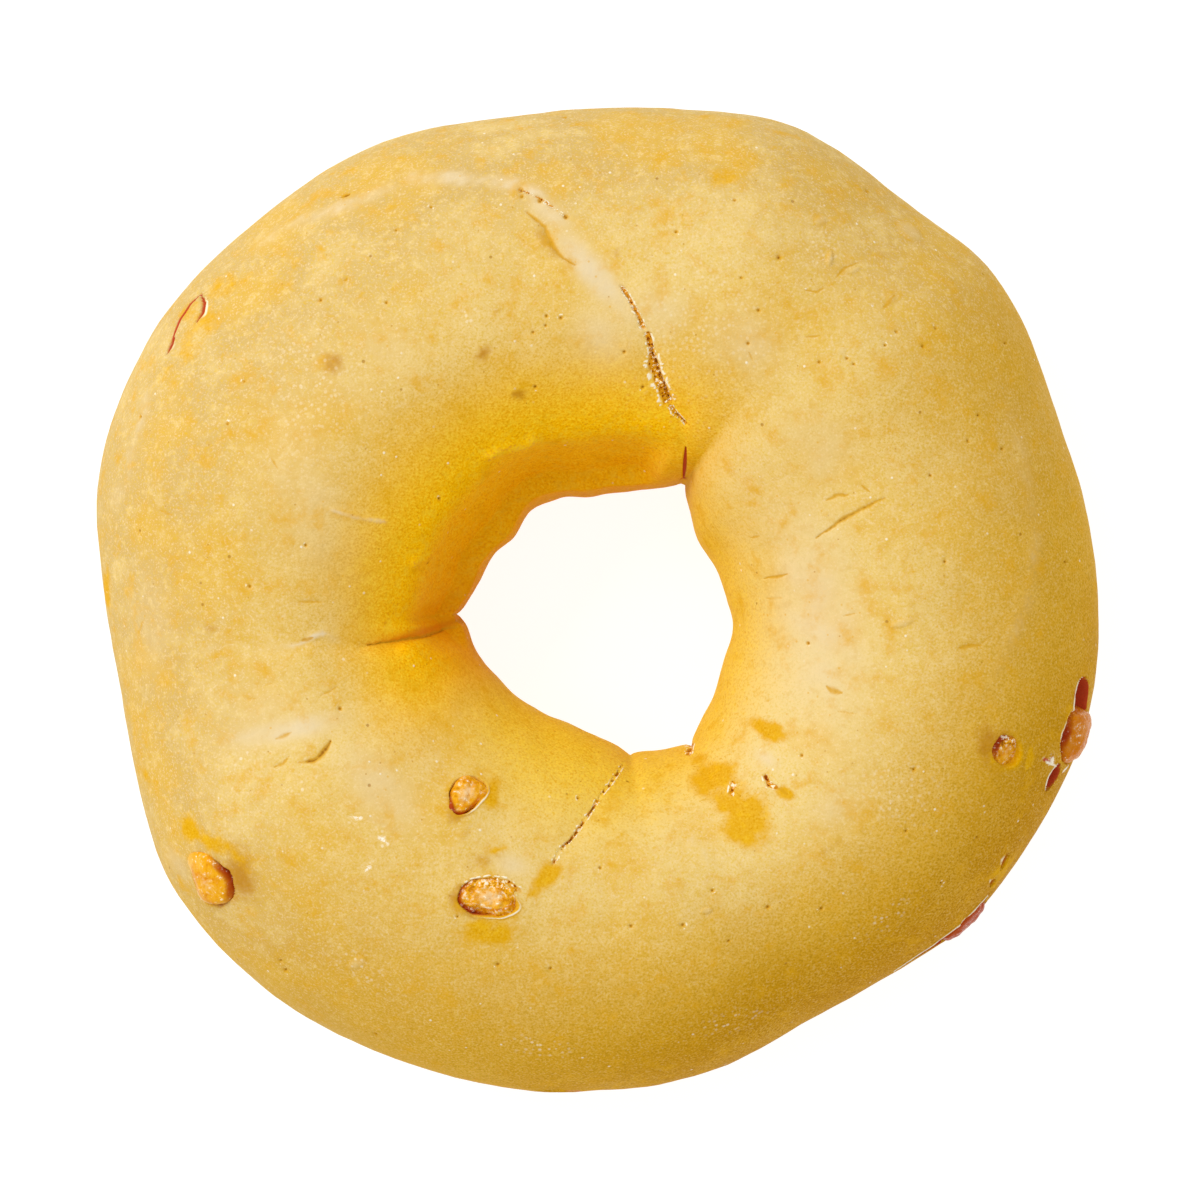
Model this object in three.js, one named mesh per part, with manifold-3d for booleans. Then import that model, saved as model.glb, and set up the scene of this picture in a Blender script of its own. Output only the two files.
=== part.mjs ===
// A boiled and baked bagel: one closed dough ring with a flat foot, and eight baked-in amber chips,
// each seated in its own pocket in the skin. Millimetres, +Z up.
// The origin is at the middle of the bounding box, on the surface that the ring rests on.
import * as THREE from "three";
import { mergeVertices } from "three/addons/utils/BufferGeometryUtils.js";
import Module from "manifold-3d";

const wasm = await Module();
wasm.setup();

// ---- Driving dimensions ----

// Where the outer edge lies, seen from above: [azimuth in degrees, distance from the axis].
const RIM = [
  [0, 52.4], [12, 52.0], [25, 52.1], [40, 53.8], [52, 53.0], [67, 53.8], [82, 52.1], [98, 51.6],
  [115, 52.9], [135, 53.8], [152, 54.8], [164, 54.2], [177, 52.2], [190, 51.3], [202, 52.1], [216, 54.1],
  [240, 53.2], [262, 51.9], [284, 50.6], [299, 49.1], [318, 51.1], [334, 52.0], [347, 52.8],
];

// The edge of the hole in the same form. Its three deep points are where the rolled dough folds onto itself.
const HOLE = [
  [0, 13.4], [15, 12.8], [30, 12.1], [43, 13.0], [54.5, 14.9], [63, 13.1], [78, 11.4], [95, 10.9],
  [112, 11.6], [128, 11.9], [144, 11.1], [157, 11.8], [173, 13.0], [185, 15.1], [196, 14.3], [220, 13.5],
  [250, 13.2], [266, 13.9], [281, 16.6], [290, 16.6], [301, 17.5], [312, 16.2], [328, 14.7], [345, 14.2],
];

// The crown's height follows the width of the roll: a base height and a share of the local width.
const CROWN_BASE = 17.0;
const CROWN_SHARE = 0.43;
// The widest level of the roll, as a share of the crown's height.
const WAIST_SHARE = 0.44;
// How far the round underside would reach below the tray if it weren't baked flat, and the softness of that edge.
const FOOT_FLATTENING = 2.6;
const FOOT_EDGE_BLEND = 0.9;

// Where the dough was folded and pinched: points [x, y] from the hole outwards, the depth of the groove
// at the hole and its half width.
const CREASES = [
  { path: [[-14.5, -1.3], [-20.9, -4.0], [-30.0, -4.5], [-41.0, -4.9]], depth: 1.8, halfWidth: 1.9 },
  { path: [[9.2, 12.0], [8.8, 18.4], [5.8, 25.2], [3.0, 32.0], [-4.1, 40.4]], depth: 1.4, halfWidth: 1.6 },
  { path: [[3.2, -16.0], [0.6, -19.4], [-2.0, -24.2], [-5.2, -28.4]], depth: 1.3, halfWidth: 1.5 },
];

// Baked-in chips. azimuth and tilt place one on the skin (tilt 0 is the outer waist, 90 the crown), turn is
// the direction of its long axis on the skin, counted from the way round the ring towards the crown,
// length, width and thick are its full sizes, and proud is how far it stands out of the skin.
const CHIPS = [
  { name: "chip_1", azimuth: 215.5, tilt: 36.6, turn: -12, length: 6.4, width: 4.6, thick: 4.4, proud: 1.5 },
  { name: "chip_2", azimuth: 236.0, tilt: 115.5, turn: 80, length: 4.5, width: 3.4, thick: 3.4, proud: 0.5 },
  { name: "chip_3", azimuth: 249.8, tilt: 89.0, turn: 8, length: 5.9, width: 3.8, thick: 3.8, proud: 0.6 },
  { name: "chip_4", azimuth: 145.6, tilt: 32.7, turn: 0, length: 6.0, width: 3.4, thick: 3.6, proud: 0.3 },
  { name: "chip_5", azimuth: 339.4, tilt: 50.7, turn: 40, length: 3.6, width: 3.3, thick: 3.4, proud: 0.4 },
  { name: "chip_6", azimuth: 343.8, tilt: 17.0, turn: 2, length: 6.8, width: 4.8, thick: 4.6, proud: 1.1 },
  { name: "chip_7", azimuth: 318.5, tilt: 8.0, turn: 2, length: 6.4, width: 3.8, thick: 3.8, proud: 0.6 },
  { name: "chip_8", azimuth: 265.4, tilt: 7.0, turn: 0, length: 5.2, width: 2.6, thick: 3.2, proud: 0.1 },
];

// Two chips sit in tears longer than themselves: the length and width of the torn slot.
const TEARS = {
  chip_6: { length: 13.0, width: 3.6 },
  chip_7: { length: 12.0, width: 2.2 },
};

const POCKET_GAP = 0.3; // clearance between a chip and its pocket, all round
const RING_STEPS = 84; // facets the long way round
const SECTION_STEPS = 30; // facets round the roll
const CHIP_STEPS = [12, 8];

const DOUGH_COLOUR = "#ecc97d";
const CHIP_COLOUR = "#d98a1e";

const radians = THREE.MathUtils.degToRad;

// ---- The dough's form ----

// A smooth closed curve through [angle, value] stations.
function around(stations, angle) {
  const count = stations.length;
  const turned = ((angle % 360) + 360) % 360;
  const next = stations.findIndex(([at]) => at > turned);
  const i = (next < 0 ? count : next) - 1;
  const station = (k) => {
    const wrapped = ((k % count) + count) % count;
    const laps = Math.floor(k / count);
    return [stations[wrapped][0] + 360 * laps, stations[wrapped][1]];
  };
  const [a0, v0] = station(i - 1);
  const [a1, v1] = station(i);
  const [a2, v2] = station(i + 1);
  const [a3, v3] = station(i + 2);
  const span = a2 - a1;
  const t = (turned - a1) / span;
  const startSlope = ((v2 - v0) / (a2 - a0)) * span;
  const endSlope = ((v3 - v1) / (a3 - a1)) * span;
  return (
    v1 * (2 * t ** 3 - 3 * t ** 2 + 1) +
    startSlope * (t ** 3 - 2 * t ** 2 + t) +
    v2 * (3 * t ** 2 - 2 * t ** 3) +
    endSlope * (t ** 3 - t ** 2)
  );
}

// How deep the fold grooves are at a place seen from above.
function creaseDepth(x, y) {
  let deepest = 0;
  for (const { path, depth, halfWidth } of CREASES) {
    for (let i = 0; i + 1 < path.length; i++) {
      const [ax, ay] = path[i];
      const [bx, by] = path[i + 1];
      const along = THREE.MathUtils.clamp(
        ((x - ax) * (bx - ax) + (y - ay) * (by - ay)) / ((bx - ax) ** 2 + (by - ay) ** 2),
        0,
        1,
      );
      const off = Math.hypot(x - ax - along * (bx - ax), y - ay - along * (by - ay));
      const fade = 1 - (i + along) / (path.length - 1);
      deepest = Math.max(deepest, depth * fade * Math.exp(-((off / halfWidth) ** 2)));
    }
  }
  return deepest;
}

// The skin at an azimuth round the ring and a tilt round the roll, in degrees.
function skinPoint(azimuth, tilt) {
  const hole = around(HOLE, azimuth);
  const rim = around(RIM, azimuth);
  const middle = (rim + hole) / 2;
  const half = (rim - hole) / 2;
  const crown = CROWN_BASE + CROWN_SHARE * (rim - hole);
  const waist = WAIST_SHARE * crown;
  const rise = Math.sin(radians(tilt));
  const reach = rise > 0 ? crown - waist : waist + FOOT_FLATTENING;
  let r = middle + half * Math.cos(radians(tilt));
  let z = waist + reach * rise;
  const x = r * Math.cos(radians(azimuth));
  const y = r * Math.sin(radians(azimuth));
  const groove = creaseDepth(x, y) * THREE.MathUtils.smoothstep(rise, -0.6, 0.2);
  r -= groove * Math.cos(radians(tilt));
  z -= groove * Math.max(rise, 0);
  if (z < FOOT_EDGE_BLEND) {
    z = z < -FOOT_EDGE_BLEND ? 0 : (z + FOOT_EDGE_BLEND) ** 2 / (4 * FOOT_EDGE_BLEND);
  }
  return new THREE.Vector3(r * Math.cos(radians(azimuth)), r * Math.sin(radians(azimuth)), z);
}

// The directions on the skin: the way round the ring, the way up the roll, and out of the dough.
function skinFrame(azimuth, tilt) {
  const step = 1.5;
  const round = skinPoint(azimuth + step, tilt).sub(skinPoint(azimuth - step, tilt)).normalize();
  const up = skinPoint(azimuth, tilt + step).sub(skinPoint(azimuth, tilt - step)).normalize();
  const out = new THREE.Vector3().crossVectors(round, up).normalize();
  return new THREE.Matrix4().makeBasis(round, new THREE.Vector3().crossVectors(out, round), out);
}

// A torus of the ring's facets, each corner moved to its place on the skin.
function doughGeometry() {
  const radius = 30;
  const tube = 10;
  const torus = new THREE.TorusGeometry(radius, tube, SECTION_STEPS, RING_STEPS);
  const position = torus.getAttribute("position");
  const corner = new THREE.Vector3();
  for (let i = 0; i < position.count; i++) {
    corner.fromBufferAttribute(position, i);
    const azimuth = THREE.MathUtils.radToDeg(Math.atan2(corner.y, corner.x));
    const tilt = THREE.MathUtils.radToDeg(Math.atan2(corner.z, Math.hypot(corner.x, corner.y) - radius));
    const placed = skinPoint(Math.round(azimuth * 1e4) / 1e4, Math.round(tilt * 1e4) / 1e4);
    position.setXYZ(i, placed.x, placed.y, placed.z);
  }
  return torus;
}

// ---- Solids ----

function solidOf(geometry) {
  const bare = geometry.clone();
  bare.deleteAttribute("normal");
  bare.deleteAttribute("uv");
  const merged = mergeVertices(bare, 1e-3);
  return new wasm.Manifold(
    new wasm.Mesh({
      numProp: 3,
      vertProperties: new Float32Array(merged.attributes.position.array),
      triVerts: new Uint32Array(merged.index.array),
    }),
  );
}

function geometryOf(solid) {
  const mesh = solid.getMesh();
  const geometry = new THREE.BufferGeometry();
  geometry.setAttribute("position", new THREE.BufferAttribute(mesh.vertProperties, 3));
  geometry.setIndex(new THREE.BufferAttribute(mesh.triVerts, 1));
  geometry.computeVertexNormals();
  return geometry;
}

// ---- Chips ----

function ellipsoid(length, width, thick) {
  const ball = new THREE.SphereGeometry(0.5, ...CHIP_STEPS);
  return ball.rotateX(Math.PI / 2).scale(length, width, thick);
}

// Puts an object on the skin with its long axis along the chip's turn, sunk by sink.
function seat(object, chip, sink) {
  const frame = skinFrame(chip.azimuth, chip.tilt);
  const out = new THREE.Vector3().setFromMatrixColumn(frame, 2);
  object.quaternion.setFromRotationMatrix(frame);
  object.rotateZ(radians(chip.turn));
  object.position.copy(skinPoint(chip.azimuth, chip.tilt)).addScaledVector(out, -sink);
  object.updateMatrixWorld(true);
  return object;
}

function chipMesh(chip, material) {
  const mesh = new THREE.Mesh(ellipsoid(chip.length, chip.width, chip.thick), material);
  mesh.name = chip.name;
  return seat(mesh, chip, chip.thick / 2 - chip.proud);
}

// The space that a chip takes out of the dough, with the torn slot of those that have one.
function pocketSolid(chip) {
  const grow = 2 * POCKET_GAP;
  const socket = seat(
    new THREE.Mesh(ellipsoid(chip.length + grow, chip.width + grow, chip.thick + grow)),
    chip,
    chip.thick / 2 - chip.proud,
  );
  let pocket = solidOf(socket.geometry.clone().applyMatrix4(socket.matrixWorld));
  const tear = TEARS[chip.name];
  if (tear) {
    const slot = seat(new THREE.Mesh(ellipsoid(tear.length, tear.width, chip.thick)), chip, 0);
    pocket = pocket.add(solidOf(slot.geometry.clone().applyMatrix4(slot.matrixWorld)));
  }
  return pocket;
}

// ---- The bagel ----

const dough = new THREE.MeshStandardMaterial({ color: DOUGH_COLOUR, roughness: 0.55, metalness: 0 });
const amber = new THREE.MeshStandardMaterial({ color: CHIP_COLOUR, roughness: 0.35, metalness: 0 });

let ring = solidOf(doughGeometry());
for (const chip of CHIPS) {
  ring = ring.subtract(pocketSolid(chip));
}

const bagel = new THREE.Group();
const doughRing = new THREE.Mesh(geometryOf(ring), dough);
doughRing.name = "dough_ring";
bagel.add(doughRing);
for (const chip of CHIPS) {
  bagel.add(chipMesh(chip, amber));
}

// The outline is drawn about a point near the middle of the ring: move it to the middle of its box.
const box = new THREE.Box3().setFromObject(bagel);
const middle = box.getCenter(new THREE.Vector3());
bagel.position.set(-middle.x, -middle.y, -box.min.z);

export default bagel;
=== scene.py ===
import math

import bpy
import numpy as np
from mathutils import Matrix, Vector, noise


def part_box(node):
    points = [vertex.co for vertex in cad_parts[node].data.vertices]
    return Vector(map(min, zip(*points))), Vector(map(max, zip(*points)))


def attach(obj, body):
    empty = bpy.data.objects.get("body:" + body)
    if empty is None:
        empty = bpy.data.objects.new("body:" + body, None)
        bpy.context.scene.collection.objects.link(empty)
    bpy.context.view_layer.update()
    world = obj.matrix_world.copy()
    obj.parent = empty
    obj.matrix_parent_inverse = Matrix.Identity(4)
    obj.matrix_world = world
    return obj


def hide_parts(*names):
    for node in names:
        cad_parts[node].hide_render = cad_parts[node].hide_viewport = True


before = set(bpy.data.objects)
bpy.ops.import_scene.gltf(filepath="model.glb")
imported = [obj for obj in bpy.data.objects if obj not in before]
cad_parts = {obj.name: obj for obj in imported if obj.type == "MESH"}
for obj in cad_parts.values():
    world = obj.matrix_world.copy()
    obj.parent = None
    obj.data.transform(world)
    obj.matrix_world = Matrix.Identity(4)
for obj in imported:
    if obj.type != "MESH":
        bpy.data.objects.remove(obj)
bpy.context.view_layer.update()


# ---- The dough ring ----
# One rope of wheat dough, rolled, joined end over end into a ring, boiled for its thin satin skin and baked
# flat side down. The rope's broad end laps over the ring at the upper left, and its seams run into the
# hole. Everything in this section is in millimetres until the mesh is placed.

MM = 0.001

# Where the outer edge lies, seen from above: (azimuth in degrees, distance from the axis).
RIM = [
    (0, 52.4), (12, 52.0), (25, 52.1), (40, 53.8), (52, 53.0), (67, 53.8), (82, 52.1), (98, 51.6),
    (115, 52.9), (135, 53.8), (152, 54.8), (164, 54.2), (177, 52.2), (190, 51.3), (202, 52.1), (216, 54.1),
    (240, 53.2), (262, 51.9), (284, 50.6), (299, 49.1), (318, 51.1), (334, 52.0), (347, 52.8),
]
# The edge of the hole in the same form.
HOLE = [
    (0, 13.4), (15, 12.8), (30, 12.0), (42, 12.2), (56, 12.4), (70, 11.9), (82, 11.3), (97, 10.9),
    (112, 11.6), (128, 11.9), (144, 11.1), (157, 11.8), (170, 12.5), (185, 13.2), (200, 13.9), (220, 13.5),
    (250, 13.2), (266, 13.8), (281, 15.6), (291, 16.6), (302, 16.8), (313, 16.0), (328, 14.7), (345, 14.2),
]
# Sharp notches in that edge, where the rope folds onto itself: (azimuth, depth, and the degrees that it
# fades in).
NOTCHES = [(54, 2.8, 7), (185.5, 2.0, 6), (281, 1.1, 4), (302.5, 1.0, 4)]
CROWN_BASE = 17.0  # the crown's height is this and a share of the roll's local width
CROWN_SHARE = 0.43
WAIST_SHARE = 0.44  # the widest level, as a share of the crown's height
FOOT_FLATTENING = 2.6
FOOT_EDGE_BLEND = 0.9
HOLE_EASING = (-24, -16, -8, 0, 8, 16, 24)  # the roll follows the hole's edge averaged over these turns
NOTCH_FADE = 4  # how soon a notch in the hole's edge fades towards the crown
SHOULDER_SOFTNESS = 20.0
SHOULDER_TILT = 130.0  # above this tilt the lapped end is pressed into a straight wall towards the hole
WALL_START, WALL_END, WALL_FADE = 76.0, 188.0, 14.0  # the azimuths that the straight wall covers


def smoothstep(value, low, high):
    share = np.clip((value - low) / (high - low), 0.0, 1.0)
    return share * share * (3 - 2 * share)


def bell(value, width=1.0):
    """1 at 0, falling softly to both sides."""
    return np.exp(-((value / width) ** 2))


def turn_from(azimuth, middle):
    """The turn from a middle azimuth, between -180 and 180 degrees."""
    return (azimuth - middle + 180) % 360 - 180


def around(stations, angles):
    """A smooth closed curve through (angle, value) stations, read at angles in degrees."""
    at, value = np.array(stations, float).T
    at = np.concatenate((at[-2:] - 360, at, at[:3] + 360))
    value = np.concatenate((value[-2:], value, value[:3]))
    slope = np.gradient(value, at)
    slope[1:-1] = (value[2:] - value[:-2]) / (at[2:] - at[:-2])
    turned = np.mod(angles, 360)
    i = np.searchsorted(at, turned, side="right") - 1
    span = at[i + 1] - at[i]
    t = (turned - at[i]) / span
    start = value[i] * (2 * t**3 - 3 * t**2 + 1) + slope[i] * span * (t**3 - 2 * t**2 + t)
    return start + value[i + 1] * (3 * t**2 - 2 * t**3) + slope[i + 1] * span * (t**3 - t**2)


def roll_size(azimuth):
    """The roll's middle radius, half width, crown height and waist height, before the hole's notches."""
    rim = around(RIM, azimuth)
    hole = np.mean([around(HOLE, azimuth + turn) for turn in HOLE_EASING], axis=0)
    crown = CROWN_BASE + CROWN_SHARE * (rim - hole)
    return (rim + hole) / 2, (rim - hole) / 2, crown, WAIST_SHARE * crown


def skin(azimuth, tilt):
    """Points of the smooth skin. Tilt 0 is the outer waist, 90 the crown and 180 the waist in the hole."""
    middle, half, crown, waist = roll_size(azimuth)
    notch = around(HOLE, azimuth) - (middle - half)
    for at, depth, fade in NOTCHES:
        notch = notch + depth * np.exp(-np.abs(turn_from(azimuth, at)) / fade)
    chord = (180 - SHOULDER_TILT) / 2
    from_chord = np.clip(tilt, SHOULDER_TILT, 180) - (180 - chord)
    pressed = np.cos(np.radians(chord)) / np.cos(np.radians(from_chord)) - 1
    wall = smoothstep(azimuth, WALL_START - WALL_FADE, WALL_START)
    wall = wall * (1 - smoothstep(azimuth, WALL_END, WALL_END + WALL_FADE))
    scale = 1 + wall * pressed * smoothstep(tilt, SHOULDER_TILT - 4, SHOULDER_TILT + SHOULDER_SOFTNESS)
    out = scale * np.cos(np.radians(tilt))
    rise = scale * np.sin(np.radians(tilt))
    reach = np.where(rise > 0, crown - waist, waist + FOOT_FLATTENING)
    r = middle + half * out + notch * ((1 - np.cos(np.radians(tilt))) / 2) ** NOTCH_FADE
    z = waist + reach * rise
    edge = np.clip(z, -FOOT_EDGE_BLEND, FOOT_EDGE_BLEND)
    z = np.where(z < FOOT_EDGE_BLEND, (edge + FOOT_EDGE_BLEND) ** 2 / (4 * FOOT_EDGE_BLEND), z)
    turn = np.radians(azimuth)
    return np.stack((r * np.cos(turn), r * np.sin(turn), z), axis=-1)


def unit(vectors):
    return vectors / np.linalg.norm(vectors, axis=-1, keepdims=True)


def skin_axes(azimuth, tilt):
    """The ways round the ring, up the roll and out of the dough."""
    step = 0.75
    way_round = unit(skin(azimuth + step, tilt) - skin(azimuth - step, tilt))
    up = unit(skin(azimuth, tilt + step) - skin(azimuth, tilt - step))
    out = unit(np.cross(way_round, up))
    return way_round, np.cross(out, way_round), out


# The outline is drawn about a point near the middle of the ring. The frame's own box says where that lies,
# by a rough ring with as many facets as the frame's.
FRAME_TURN, FRAME_TILT = 360 / 84, 360 / 30
rough_turn, rough_tilt = np.meshgrid(np.arange(0, 360, FRAME_TURN), np.arange(-180, 180, FRAME_TILT))
rough = skin(rough_turn, rough_tilt).reshape(-1, 3)
node_low, node_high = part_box("dough_ring")
SHIFT = np.array((node_low + node_high) / 2) / MM - (rough.min(0) + rough.max(0)) / 2
SHIFT[2] = 0.0

# Seams where the rope lies on itself, from the hole outwards: points (x, y), the groove's depth at its two
# ends and how fast it gets shallow, how far its sides slope on the left and on the right of that way, and
# how far the right side stands over the left.
SEAMS = [
    {"path": [(-14.6, -2.4), (-17.8, -3.5), (-20.9, -4.4), (-24.6, -4.7), (-30.0, -4.4), (-36.4, -4.9),
     (-44.0, -5.0)], "depth": (2.6, 0.2), "fall": 1.5, "left": 0.9, "right": 3.4, "step": 0.5},
    {"path": [(8.9, 11.0), (8.9, 15.6), (8.2, 19.0), (6.2, 22.4), (5.4, 27.0), (2.4, 32.6), (-3.5, 40.0)],
     "depth": (1.9, 0.1), "fall": 2.0, "left": 1.8, "right": 1.5, "step": 0.15},
    {"path": [(3.2, -15.4), (1.6, -18.4), (-0.2, -20.8), (-2.5, -24.2), (-4.8, -27.2), (-6.6, -30.4)],
     "depth": (1.2, 0.08), "fall": 1.4, "left": 1.4, "right": 1.7, "step": 0.0},
    {"path": [(-12.6, -6.8), (-16.4, -8.1), (-19.6, -7.4)], "depth": (0.5, 0.1), "fall": 1.0, "left": 0.8,
     "right": 1.3, "step": 0.1},
]
# Where a seam has torn open while baking, with ragged crumb inside: points, half width, depth, and how far
# the tear is broken into dashes.
TEARS = [
    ([(2.2, 32.9), (3.2, 31.3), (4.0, 29.8), (4.8, 28.1)], 0.17, 0.35, 0.25),
    ([(4.9, 28.0), (5.2, 27.0), (5.5, 25.4)], 0.28, 0.2, 0.0),
    ([(5.4, 25.8), (5.8, 23.9), (6.5, 21.9), (7.2, 20.0)], 0.46, 0.18, 0.15),
    ([(-14.6, -30.2), (-13.2, -29.4), (-11.3, -29.1), (-9.6, -29.4), (-8.0, -30.6)], 0.26, 0.15, 0.5),
    ([(5.2, 26.6), (6.0, 24.2), (6.7, 22.2), (7.3, 20.1)], 0.1, 0.4, 0.2),
    ([(7.1, 20.2), (7.9, 19.0), (9.1, 17.9)], 0.16, 0.3, 0.5),
    ([(2.5, -17.2), (1.2, -19.1), (0.2, -20.2)], 0.14, 0.35, 0.9),
    ([(0.2, -20.2), (-1.2, -22.4), (-2.6, -24.4), (-4.0, -25.9), (-4.9, -27.6)], 0.15, 0.4, 0.9),
    ([(-8.6, 43.0), (-6.0, 41.8), (-3.3, 39.9)], 0.08, 0.2, 1.0),
    ([(9.7, -14.9), (9.3, -16.3)], 0.26, 0.25, 0.2),
    ([(14.1, -18.9), (13.7, -20.5)], 0.2, 0.2, 0.5),
    ([(17.2, -18.2), (17.7, -19.2), (18.6, -19.6)], 0.2, 0.25, 0.2),
]
# Stretched skin that shows as a faint whitish ridge: points, height, half width and strength of the colour.
RIDGES = [
    ([(-3.6, 40.6), (-6.6, 42.6), (-9.4, 43.4), (-15.7, 44.1), (-20.2, 44.0), (-26.0, 41.4)],
     0.22, 0.8, 0.6),
    ([(-9.4, 43.3), (-15.7, 44.0), (-20.2, 43.9), (-22.2, 43.1), (-27.5, 40.5), (-31.8, 39.2),
      (-35.2, 37.2), (-38.6, 35.2)], 0.2, 0.7, 0.45),
    ([(-46.4, 24.6), (-47.9, 18.6), (-48.7, 15.8), (-50.3, 10.7), (-51.0, 8.4)], 0.15, 0.6, 0.35),
    ([(-25.5, -4.3), (-29.0, -3.6), (-31.4, -4.6), (-38.0, -5.0), (-43.0, -5.1)], 0.1, 0.3, 0.6),
    ([(40.5, 27.3), (44.0, 15.8), (45.6, 6.3), (45.0, 0.0), (41.6, -7.0), (38.0, -12.5)], 0.14, 0.8, 0.22),
    ([(-29.4, 9.8), (-24.8, 8.5), (-21.5, 8.2)], 0.1, 0.3, 0.4),
    ([(-5.8, 17.2), (-7.7, 16.1), (-10.4, 15.4), (-12.6, 14.4)], 0.3, 0.55, 0.12),
    ([(-17.2, 5.6), (-18.3, 4.3), (-19.8, 2.8)], 0.34, 0.6, 0.12),
    ([(9.2, -24.2), (12.3, -28.0)], 0.1, 0.4, 0.25),
]
SHARP_RIDGES = RIDGES[5:8]  # narrow enough to need the finer mesh
# Broad places of stretched, paler skin, and of painted light on slopes that face the softbox: (x, y), half
# sizes, turn in degrees and strength.
PALE_AND_LIT_PATCHES = [
    ((-0.6, 34.0), (6.8, 1.7), -50, 0.75), ((0.2, 27.6), (3.8, 3.4), -60, 0.4),
    ((-5.2, 40.4), (3.6, 1.3), -42, 0.6), ((-33.0, -13.6), (7.0, 1.5), 10, 0.7),
    ((-9.2, -27.6), (2.0, 1.3), -15, 0.6), ((-22.5, -23.4), (3.0, 0.5), -25, 0.4),
    ((-47.0, -3.0), (3.0, 7.0), 0, 0.3), ((17.4, -16.6), (1.8, 1.0), -30, 0.5),
    ((-22.0, 26.0), (5.0, 3.2), -30, 0.25), ((-27.0, 22.0), (7.0, 4.0), -45, 0.2),
    ((23.0, -3.0), (5.5, 14.0), 6, 0.5), ((-44.0, -27.6), (1.2, 2.4), 30, 0.4),
    ((-31.0, 12.0), (5.0, 13.0), 15, 0.3), ((-35.0, -12.0), (6.0, 5.0), 0, 0.3),
    ((-23.0, -19.5), (6.0, 3.2), -45, 0.45), ((6.0, 30.0), (5.0, 3.5), 0, 0.35),
    ((15.0, 27.0), (5.0, 4.0), -30, 0.4), ((23.0, 16.0), (4.0, 6.0), 40, 0.3),
    ((25.0, -21.0), (5.0, 3.0), 45, 0.3),
]
# Dry white flakes, and painted glints in the cluster at the lower left and beside the sixth chip, in the same
# form.
FLAKES_AND_GLINTS = [
    ((-25.4, -22.8), (1.2, 0.4), -12, 1.0), ((-22.4, -25.3), (1.5, 0.4), -62, 1.0),
    ((-24.3, -28.0), (0.9, 0.3), 35, 1.0), ((-23.6, -33.6), (0.7, 0.4), -20, 1.0),
    ((-19.4, -28.1), (0.5, 0.4), 0, 1.0), ((-26.6, -6.0), (0.6, 0.3), 0, 0.6),
    ((-37.0, -16.4), (1.6, 0.6), 20, 0.5), ((-31.0, -19.4), (1.8, 0.7), 20, 0.5),
    ((-13.5, 29.5), (1.0, 0.8), 0, 0.5), ((14.0, -44.0), (3.0, 0.8), 15, 0.5),
    ((-6.0, -46.5), (3.0, 1.0), -10, 0.5), ((30.0, -33.0), (3.0, 1.0), 35, 0.4),
    ((-25.0, -38.5), (3.5, 1.2), -35, 0.4), ((47.0, -16.7), (0.7, 0.5), 0, 1.0),
    ((22.8, 36.4), (2.5, 1.5), 20, 0.35), ((11.0, 29.0), (7.0, 9.0), 0, 0.22),
    ((-30.0, 22.0), (6.0, 8.0), 0, 0.25), ((31.0, -20.0), (5.0, 4.0), 0, 0.25),
]
# Browner smudges in the skin, and a painted shadow beside the first chip, in the same form.
SMUDGES_AND_SHADE = [
    ((-27.8, 24.7), (1.5, 1.2), -50, 0.8), ((-8.4, 21.6), (0.9, 0.6), 0, 1.0),
    ((-12.0, 25.8), (1.1, 0.7), 40, 0.9), ((-10.4, 30.0), (0.6, 0.4), 0, 0.6),
    ((1.8, 36.2), (0.6, 0.4), 40, 0.9), ((-40.5, -2.9), (1.2, 0.8), 0, 0.5),
    ((-31.2, -0.4), (1.4, 0.5), 10, 0.4), ((-5.6, 37.4), (0.9, 2.6), 36, 0.6),
    ((40.6, -15.2), (1.4, 3.0), 15, 0.8), ((-37.4, -28.2), (1.7, 3.4), 12, 0.95),
    ((-12.4, -27.3), (3.4, 1.2), 20, 0.45), ((-13.8, -24.2), (1.6, 0.7), 35, 0.4),
    ((24.3, -26.0), (3.0, 1.6), 20, 0.3), ((29.4, 36.8), (3.0, 2.0), 30, 0.3),
    ((-1.0, 45.2), (3.0, 1.0), -10, 0.35), ((32.6, -34.6), (1.0, 0.6), 45, 0.5),
]
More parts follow.
